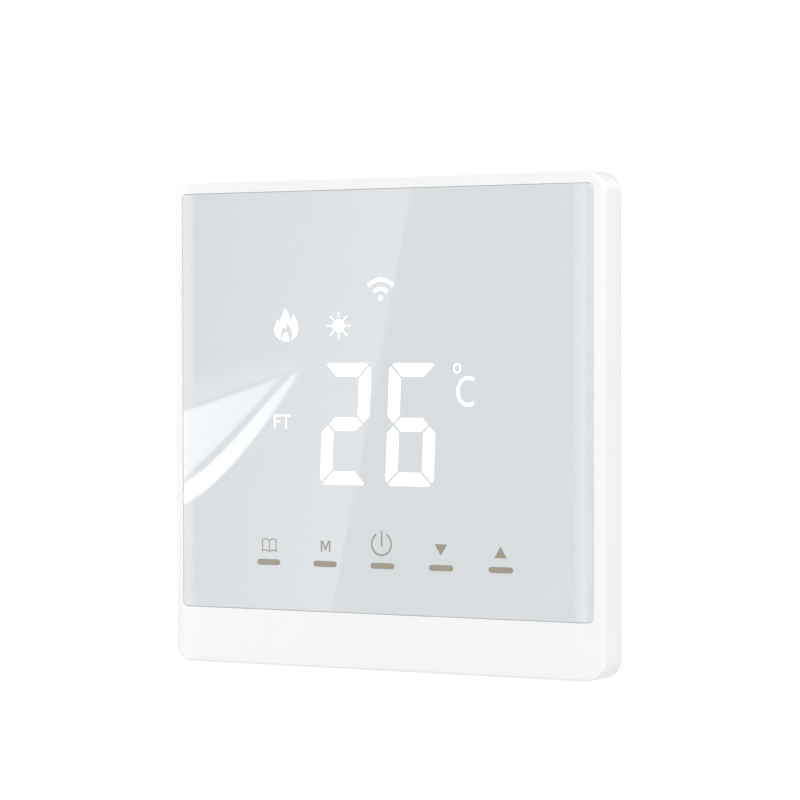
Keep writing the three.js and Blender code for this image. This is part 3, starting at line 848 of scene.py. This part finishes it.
def makeStrips():
    # tall light strips that only the rolled edges see; azimuths in degrees from straight in front
    strips = {
        "rightStrip": {"from": -23, "to": -6, "strength": 2.3},
        "leftStrip": {"from": -64, "to": -38, "strength": 3.6},
    }
    radius = 1.3
    reach = 0.7  # above and below the middle of the object
    columns = 16
    for name, strip in strips.items():
        rows = []
        for height in (-reach, reach):
            row = []
            for i in range(columns + 1):
                share = i / columns
                a = math.radians(strip["from"] + (strip["to"] - strip["from"]) * share)
                glow = math.sin(math.pi * share) ** 0.6 if 0 < i < columns else 0.0
                row.append((radius * math.sin(a), -radius * math.cos(a), height, glow))
            rows.append(row)
        addCard(name, rows, strip["strength"])


print("studio")
cameraPlace = makeCamera()
makeWorld()
makeFloor()
makeLamps()
makeWindowBand(cameraPlace)
makeSweeps(cameraPlace)
makeFan(cameraPlace)
makeStrips()


# cover and lens

def makeCover():
    shape = PieceMesh()
    flatHalf = rollStart - 0.1
    leastCorner = 0.4

    def squareRing(inset):
        half = halfFace - inset
        return faceRing(half, -half, half, max(leastCorner, cover["corner"] - inset), flatHalf)

    def pocketRing(grow):
        gap = cover["pocketGap"] + grow
        half = lensSize["half"] + gap
        corner = lensSize["corner"] + gap
        return faceRing(half, lensSize["low"] - gap, lensSize["high"] + gap, corner, flatHalf)

    def blended(first, second, share):
        return [(a + (c - a) * share, b + (d - b) * share) for (a, b), (c, d) in zip(first, second)]

    loops = []
    outer = squareRing(0)
    deep = rimY - cover["rimEdge"]
    loops.append([(x, rimY, z) for x, z in squareRing(cover["rimEdge"])])
    loops.append([(x, deep, z) for x, z in outer])
    for share in (0.25, 0.5, 0.75, 0.9):
        loops.append([(x, deep + (frontDepth(x) + cover["edge"] - deep) * share, z) for x, z in outer])
    rounds = 7
    for i in range(rounds + 1):
        t = math.pi / 2 * i / rounds
        ring = squareRing(cover["edge"] * (1 - math.cos(t)))
        loops.append([(x, frontDepth(x) + cover["edge"] * (1 - math.sin(t)), z) for x, z in ring])
    inner = squareRing(cover["edge"])
    mouth = pocketRing(cover["pocketEdge"])
    for share in (0.08, 0.25, 0.5, 0.75, 0.92, 1):
        ring = blended(inner, mouth, share)
        loops.append([(x, frontDepth(x), z) for x, z in ring])
    mouthRounds = 3
    for i in range(1, mouthRounds + 1):
        t = math.pi / 2 * i / mouthRounds
        ring = pocketRing(cover["pocketEdge"] * (1 - math.sin(t)))
        loops.append([(x, frontDepth(x) + cover["pocketEdge"] * (1 - math.cos(t)), z) for x, z in ring])
    depth = cover["pocketDepth"]
    seatEdge = cover["seatEdge"]
    loops.append([(x, frontDepth(x) + depth - seatEdge, z) for x, z in pocketRing(0)])
    loops.append([(x, frontDepth(x) + depth, z) for x, z in pocketRing(-seatEdge)])
    half = cover["windowHalf"]
    windowFlat = half - 2
    window = faceRing(half, cover["windowLow"], cover["windowHigh"], cover["windowCorner"], windowFlat)
    flat = frontY + depth
    loops.append([(x, flat, z) for x, z in window])
    loops.append([(x, cover["ledgeBack"], z) for x, z in window])
    inside = squareRing(cover["wall"])
    loops.append([(x, cover["ledgeBack"], z) for x, z in inside])
    loops.append([(x, rimY, z) for x, z in inside])
    shape.loft(loops, capped=False)

    sunk = 0.2  # how far each boss starts inside the ledge
    for x, z in cover["bosses"]:
        outerCircle = circle(x, z, cover["bossRadius"])
        innerCircle = circle(x, z, cover["bossBore"])
        shape.framePlate(outerCircle, innerCircle, cover["ledgeBack"] - sunk, cover["bossBack"])
    piece = makePiece("cover_shell", shape, finishes["cover_white"], "display_unit",
                      ["front_cover"])
    addWeightedNormals(piece)


def makeLens():
    # sections across the width, stacked from the bottom edge to the top
    shape = PieceMesh()
    half = lensSize["half"]
    corner = lensSize["corner"]
    edge = lensSize["edge"]
    backEdge = lensSize["backEdge"]
    thick = lensSize["thickness"]
    rollSteps = 14
    flatSteps = 12
    edgeSteps = 6
    uprightSteps = 20

    def section(reach, z, sunk, lifted):
        rolled = eased(rollStart, reach - edge, rollSteps)
        ahead = [-x for x in reversed(rolled)] + eased(-rollStart, rollStart, flatSteps)[1:-1] + rolled
        loop = [(x, frontDepth(x) + sunk, z) for x in ahead]
        right = []
        for i in range(1, edgeSteps + 1):
            t = math.pi / 2 * i / edgeSteps
            x = reach - edge + edge * math.sin(t)
            right.append((x, frontDepth(x) + sunk + edge * (1 - math.cos(t)), z))
        right.append((reach, frontDepth(reach) + thick - backEdge - lifted, z))
        loop += right
        loop += [(x, frontDepth(x) + thick - lifted, z) for x in reversed(ahead)]
        loop += [(-x, y, height) for x, y, height in reversed(right)]
        return loop

    def reachAt(rise):
        # half width at a height above the bottom edge, or below the top edge
        inside = max(0, corner - rise)
        return half - corner + math.sqrt(corner * corner - inside * inside)

    # (rise above the edge, how far the face is sunk): first the rounded edge, then the corner
    ends = []
    for i in range(edgeSteps + 1):
        t = math.pi / 2 * i / edgeSteps
        ends.append((edge * (1 - math.cos(t)), edge * (1 - math.sin(t))))
    for i in range(1, edgeSteps + 1):
        t = math.pi / 2 * i / edgeSteps
        ends.append((edge + (corner - edge) * (1 - math.cos(t)), 0))
    low = lensSize["low"]
    high = lensSize["high"]
    rows = [(low + rise, reachAt(rise), sunk, backEdge if rise == 0 else 0) for rise, sunk in ends]
    rows += [(z, half, 0, 0) for z in eased(low + corner, high - corner, uprightSteps)[1:-1]]
    for rise, sunk in reversed(ends):
        rows.append((high - rise, reachAt(rise), sunk, backEdge if rise == 0 else 0))
    shape.loft([section(reach, z, sunk, lifted) for z, reach, sunk, lifted in rows])
    piece = makePiece("lens_front", shape, finishes["lens_acrylic"], "display_unit",
                      ["lens_panel"])
    addWeightedNormals(piece)


print("cover and lens")
makeCover()
makeLens()


# marks on the lens

markFront = frontY - 0.03
markBack = frontY + 0.1


def markPiece(name, build, finish):
    shape = PieceMesh()
    build(shape)
    return makePiece(name, shape, finishes[finish], "display_unit", smooth=False)


def makeDigits():
    # seven-segment digits with mitred ends and clipped corners
    digit = {
        "width": 9.55,
        "height": 21.36,
        "stroke": 2.37,
        "clip": 1.0,
        "split": 0.3,
        "slant": 0.042,
        "centreZ": -0.04,
    }
    shown = {"digit_tens": (-6.87, "abged"), "digit_units": (6.33, "afgedc")}
    w = digit["width"] / 2
    h = digit["height"] / 2
    s = digit["stroke"]
    clip = digit["clip"]
    split = digit["split"]
    near = (clip - split) / 2
    far = (clip + split) / 2

    def mirror(points):
        return [(-x, z) for x, z in points][::-1]

    def flip(points):
        return [(x, -z) for x, z in points][::-1]

    topEnd = [(-w + split + s, h - s), (-w + far, h - near), (-w + clip, h)]
    tip = -w + s / 2 + split
    middleEnd = [(tip + s / 2, -s / 2), (tip, 0), (tip + s / 2, s / 2)]
    upperLeft = [
        (-w, h - clip),
        (-w + near, h - far),
        (-w + s, h - s - split),
        (-w + s, s / 2 + split),
        (-w + s / 2, split),
        (-w, s / 2 + split),
    ]
    top = topEnd + mirror(topEnd)
    bars = {
        "a": top,
        "b": mirror(upperLeft),
        "c": mirror(flip(upperLeft)),
        "d": flip(top),
        "e": flip(upperLeft),
        "f": upperLeft,
        "g": middleEnd + mirror(middleEnd),
    }
    for name, (centreX, lit) in shown.items():
        def build(shape):
            for key in lit:
                leaned = [(centreX + x + digit["slant"] * z, digit["centreZ"] + z) for x, z in bars[key]]
                shape.plate(leaned, markFront, markBack)
        markPiece(name, build, "lit_marks")


def makeDegrees():
    sign = {
        "ring": (15.35, 9.75),
        "ringRadius": 0.73,
        "ringStroke": 0.34,
        "ringWidth": 0.86,
        "letter": (17.5, 5.79),
        "letterSize": (2.03, 2.32),
        "letterOpening": 58,
        "letterLean": 0.03,
        "letterStroke": 0.6,
    }

    def build(shape):
        x, z = sign["ring"]
        half = sign["ringStroke"] / 2
        rings = []
        for radius in (sign["ringRadius"] + half, sign["ringRadius"] - half):
            rings.append([(x + (px - x) * sign["ringWidth"], pz) for px, pz in circle(x, z, radius)])
        shape.framePlate(rings[0], rings[1], markFront, markBack)
        letter = []
        letterX, letterZ = sign["letter"]
        wide, tall = sign["letterSize"]
        opening = sign["letterOpening"]
        for cx, cz in arc(0, 0, 1, opening, 360 - opening, 30):
            letter.append((letterX + wide * cx + sign["letterLean"] * cz, letterZ + tall * cz))
        shape.plate(stroke(letter, sign["letterStroke"]), markFront, markBack)
    markPiece("degree_sign", build, "lit_marks")


def makeWireless():
    waves = {
        "centre": (0.24, 21.78),
        "outer": 3.36,
        "inner": 1.78,
        "stroke": 0.66,
        "half": 48,
        "dot": 0.45,
        "dotLift": 0.17,
    }

    def build(shape):
        x, z = waves["centre"]
        for radius in (waves["outer"], waves["inner"]):
            line = arc(x, z, radius, 90 + waves["half"], 90 - waves["half"], 24)
            shape.plate(stroke(line, waves["stroke"]), markFront, markBack)
        shape.plate(circle(x, z + waves["dotLift"], waves["dot"], 24), markFront, markBack)
    markPiece("wireless_icon", build, "lit_marks")


def makeSun():
    sun = {
        "centre": (-8.24, 17.16),
        "disc": 1.18,
        "rayFrom": 1.42,
        "rayTo": 2.4,
        "rays": 8,
        "stroke": 0.25,
    }

    def build(shape):
        x, z = sun["centre"]
        shape.plate(circle(x, z, sun["disc"]), markFront, markBack)
        for i in range(sun["rays"]):
            t = 2 * math.pi * i / sun["rays"]
            near = (x + sun["rayFrom"] * math.cos(t), z + sun["rayFrom"] * math.sin(t))
            far = (x + sun["rayTo"] * math.cos(t), z + sun["rayTo"] * math.sin(t))
            shape.plate(stroke([near, far], sun["stroke"]), markFront, markBack)
    markPiece("sun_icon", build, "lit_marks")


def smoothed(points, steps=4):
    # a closed curve through the points, each stretch split in steps; a third value of 0 keeps a corner sharp
    result = []
    count = len(points)
    for i in range(count):
        p0, p1, p2, p3 = [points[(i + k - 1) % count] for k in range(4)]
        a = Vector(p1[:2])
        b = Vector(p2[:2])
        outDirection = (b - Vector(p0[:2])) / 6 if p1[2] else (b - a) / 3
        inDirection = (Vector(p3[:2]) - a) / 6 if p2[2] else (b - a) / 3
        curve = bezier([a, a + outDirection, b - inDirection, b], steps)
        result.extend(curve[:-1])
    return result


def makeFlame():
    # a flame of three tongues with a smaller flame inside
    flame = {"centre": (-19.0, 14.5), "width": 5.0, "height": 5.85}
    outside = [
        (-0.243, 0.02, 0), (-0.42, 0.17, 1), (-0.5, 0.36, 1), (-0.42, 0.52, 1), (-0.335, 0.65, 0),
        (-0.29, 0.55, 0), (-0.16, 0.76, 1), (-0.05, 1.0, 0), (0.08, 0.86, 1), (0.19, 0.62, 1),
        (0.24, 0.68, 1), (0.29, 0.82, 0), (0.42, 0.64, 1), (0.5, 0.4, 1), (0.44, 0.18, 1),
        (0.235, 0.02, 0), (0.25, 0.24, 1), (0.19, 0.39, 1), (0.04, 0.56, 0), (-0.03, 0.37, 0),
        (-0.142, 0.43, 0), (-0.215, 0.24, 1),
    ]
    inside = [
        (-0.165, 0.0, 0), (-0.15, 0.13, 1), (-0.095, 0.27, 0), (-0.055, 0.16, 0),
        (-0.005, 0.31, 0), (0.07, 0.2, 1), (0.125, 0.09, 1), (0.135, 0.0, 0),
    ]

    def build(shape):
        x0, z0 = flame["centre"]
        for outline in (outside, inside):
            placed = [(x0 + u * flame["width"], z0 + v * flame["height"], soft) for u, v, soft in outline]
            shape.plate(smoothed(placed), markFront, markBack)
    markPiece("flame_icon", build, "lit_marks")


def makeFloorLetters():
    # generic letters for the floor sensor
    letters = {
        "low": -0.97,
        "high": 1.5,
        "middle": 0.3,
        "firstStem": -21.42,
        "secondStem": -19.03,
        "stroke": 0.31,
    }
    low = letters["low"]
    middle = letters["middle"]
    top = letters["high"] - letters["stroke"] / 2
    first = letters["firstStem"]
    second = letters["secondStem"]
    lines = [
        [(first, low), (first, top), (-20.1, top)],
        [(first, middle), (-20.3, middle)],
        [(-19.85, top), (-18.2, top)],
        [(second, top), (second, low)],
    ]

    def build(shape):
        for line in lines:
            shape.plate(stroke(line, letters["stroke"]), markFront, markBack)
    markPiece("floor_sensor_letters", build, "lit_marks")


def makeKeyBars():
    bar = {"pitch": 11.625, "middleX": 0.5, "z": -24.7, "width": 4.75, "height": 1.03}

    def build(shape):
        for i in range(-2, 3):
            outline = stadium(bar["middleX"] + i * bar["pitch"], bar["z"], bar["width"], bar["height"])
            shape.plate(outline, markFront, markBack)
    markPiece("key_bars", build, "key_print")


def makeKeyIcons():
    # book, mode letter, power, down and up
    book = {"centre": (-22.6, -21.7), "stroke": 0.17, "spine": 0.15}
    mode = {"centre": (-11.0, -21.55), "stroke": 0.26}
    power = {
        "centre": (0.31, -20.88),
        "radius": 1.95,
        "opening": 32,
        "stroke": 0.27,
        "bar": (-18.56, -21.29),
        "barShift": 0.04,
        "barStroke": 0.25,
    }
    arrows = {
        "down": [(10.89, -20.6), (12.09, -22.55), (13.29, -20.6)],
        "up": [(22.5, -22.66), (23.69, -20.66), (24.88, -22.66)],
    }

    def buildBook(shape):
        cx, cz = book["centre"]
        pen = book["stroke"]
        page = [(pen / 2, 0.84), (0.5, 1.1), (1.0, 1.12), (1.42, 0.95), (1.42, -1.05)]
        page += [(1.0, -0.88), (0.5, -0.9), (pen / 2, -1.13)]
        for side in (-1, 1):
            shape.plate(stroke([(cx + side * x, cz + z) for x, z in page], pen), markFront, markBack)
        shape.plate(stroke([(cx, cz - 1.15), (cx, cz + 0.82)], book["spine"]), markFront, markBack)

    def buildLetter(shape):
        cx, cz = mode["centre"]
        line = [(-0.84, -0.98), (-0.84, 0.84), (-0.62, 0.84), (0, -0.55)]
        line += [(-x, z) for x, z in line[2::-1]]
        shape.plate(stroke([(cx + x, cz + z) for x, z in line], mode["stroke"]), markFront, markBack)

    def buildPower(shape):
        cx, cz = power["centre"]
        opening = power["opening"]
        ring = arc(cx, cz, power["radius"], 90 + opening, 450 - opening, 40)
        shape.plate(stroke(ring, power["stroke"]), markFront, markBack)
        bar = [(cx + power["barShift"], z) for z in power["bar"]]
        shape.plate(stroke(bar, power["barStroke"]), markFront, markBack)

    def buildTriangles(shape):
        for outline in arrows.values():
            shape.plate(outline, markFront, markBack)

    icons = {
        "book_icon": buildBook,
        "mode_letter": buildLetter,
        "power_icon": buildPower,
        "arrow_icons": buildTriangles,
    }
    for name, build in icons.items():
        markPiece(name, build, "key_print")


print("marks")
makeDigits()
makeDegrees()
makeWireless()
makeSun()
makeFlame()
makeFloorLetters()
makeKeyBars()
makeKeyIcons()


# threads on the wall screws

def makeThreads():
    thread = {
        "core": 1.72,
        "ridge": 0.42,
        "sharpness": 1.5,
        "pitch": 1.1,
        "from": 1.2,
        "to": 17.7,
        "around": 28,
        "perTurn": 10,
    }
    screws = {"left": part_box("wall_screw_left"), "right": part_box("wall_screw_right")}
    for side, (low, high) in screws.items():
        x0 = (low.x + high.x) / 2 / mm
        z0 = (low.z + high.z) / 2 / mm
        length = thread["to"] - thread["from"]
        count = round(length / thread["pitch"] * thread["perTurn"])
        loops = []
        for i in range(count + 1):
            y = thread["from"] + length * i / count
            fade = min(1, i / thread["perTurn"], (count - i) / thread["perTurn"])
            loop = []
            for k in range(thread["around"]):
                t = 2 * math.pi * k / thread["around"]
                phase = (y / thread["pitch"] + k / thread["around"]) % 1
                height = fade * (1 - abs(2 * phase - 1)) ** thread["sharpness"]
                radius = thread["core"] + thread["ridge"] * height
                loop.append((x0 + radius * math.cos(t), y, z0 - radius * math.sin(t)))
            loops.append(loop)
        shape = PieceMesh()
        shape.loft(loops)
        makePiece("wall_thread_" + side, shape, finishes["screw_steel"], "base")


print("threads")
makeThreads()


# carried-over parts

def finishNode(name, node, slotName):
    softening = {"flatAngle": 0.5, "bevel": 0.16, "share": 0.06}
    node.data.materials.clear()
    node.data.materials.append(finishes[slotName])
    smoothFaces(node)
    flat = node.modifiers.new("flats", "DECIMATE")
    flat.decimate_type = "DISSOLVE"
    flat.angle_limit = math.radians(softening["flatAngle"])
    low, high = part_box(name)
    thinnest = min(high - low) / mm
    addBevel(node, min(softening["bevel"], thinnest * softening["share"]))


print("carried-over parts")
slotOf = {part["node"]: part["material_slot"] for part in frame["record"]["subparts"]}
for nodeName, node in frame["nodes"].items():
    if not node.hide_render:
        finishNode(nodeName, node, slotOf[nodeName])
